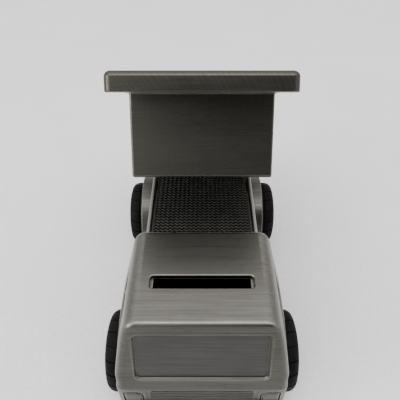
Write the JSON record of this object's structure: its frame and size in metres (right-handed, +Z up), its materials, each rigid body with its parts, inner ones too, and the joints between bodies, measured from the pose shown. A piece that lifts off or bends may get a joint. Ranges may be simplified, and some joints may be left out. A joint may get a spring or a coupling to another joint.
{
  "type": "toy dump truck coin bank",
  "caption": "Die-cast toy dump truck coin bank: cab with a roof coin slot, tipping bed with a cab canopy on a rear hinge, rolling wheels and a base stopper.",
  "frame": {"origin": "on the ground, under the middle of the whole truck's box with its bed tipped up as at rest", "axes": "+Z up, the truck's front faces -Y, +X is to the right seen from the front looking along +Y"},
  "size_m": [0.07, 0.1372, 0.1111],
  "materials": {
    "cab_pewter": "brushed antique pewter plating over die-cast zinc",
    "bed_pewter": "brushed antique pewter plating over die-cast zinc",
    "chassis_pewter": "brushed antique pewter plating over die-cast zinc",
    "hub_pewter": "brushed antique pewter plating over die-cast zinc",
    "tyre_rubber": "matte moulded black rubber",
    "pad_rubber": "embossed black rubber",
    "stopper_rubber": "matte black rubber",
    "cover_steel": "dark satin steel",
    "steel": "plain bright steel",
    "washer": "matte black",
    "screw": "nickel plated"
  },
  "bodies": {
    "chassis": {"cab_shell": "cab_pewter", "chassis_frame": "chassis_pewter", "deck_pad": "pad_rubber", "hinge_pin": "steel", "hinge_washer_left": "washer", "hinge_washer_right": "washer", "base_cover": "cover_steel", "base_screw_front_left": "screw", "base_screw_front_right": "screw", "base_screw_rear_left": "screw", "base_screw_rear_right": "screw", "cab_screw_left": "screw", "cab_screw_right": "screw"},
    "bed": {"dump_bed": "bed_pewter"},
    "front_wheels": {"front_axle": "steel", "tyre_front_left": "tyre_rubber", "tyre_front_right": "tyre_rubber", "wheel_hub_front_left": "hub_pewter", "wheel_hub_front_right": "hub_pewter", "wheel_spacer_front_left": "steel", "wheel_spacer_front_right": "steel"},
    "rear_wheels": {"rear_axle": "steel", "tyre_rear_left": "tyre_rubber", "tyre_rear_right": "tyre_rubber", "wheel_hub_rear_left": "hub_pewter", "wheel_hub_rear_right": "hub_pewter", "wheel_spacer_rear_left": "steel", "wheel_spacer_rear_right": "steel"},
    "stopper": {"coin_stopper": "stopper_rubber"}
  },
  "joints": [
    {"name": "bed_tip", "type": "hinge", "parent": "chassis", "child": "bed", "pos_m": [0, 0.0429, 0.0316], "axis": [-1, 0, 0], "range_deg": [-33, 15]},
    {"name": "front_roll", "type": "hinge", "parent": "chassis", "child": "front_wheels", "pos_m": [0, -0.0466, 0.0151], "axis": [1, 0, 0], "continuous": true},
    {"name": "rear_roll", "type": "hinge", "parent": "chassis", "child": "rear_wheels", "pos_m": [0, 0.0284, 0.0151], "axis": [1, 0, 0], "continuous": true},
    {"name": "stopper_pull", "type": "slide", "parent": "chassis", "child": "stopper", "axis": [0, 0, -1], "range_m": [0, 0.012]}
  ]
}
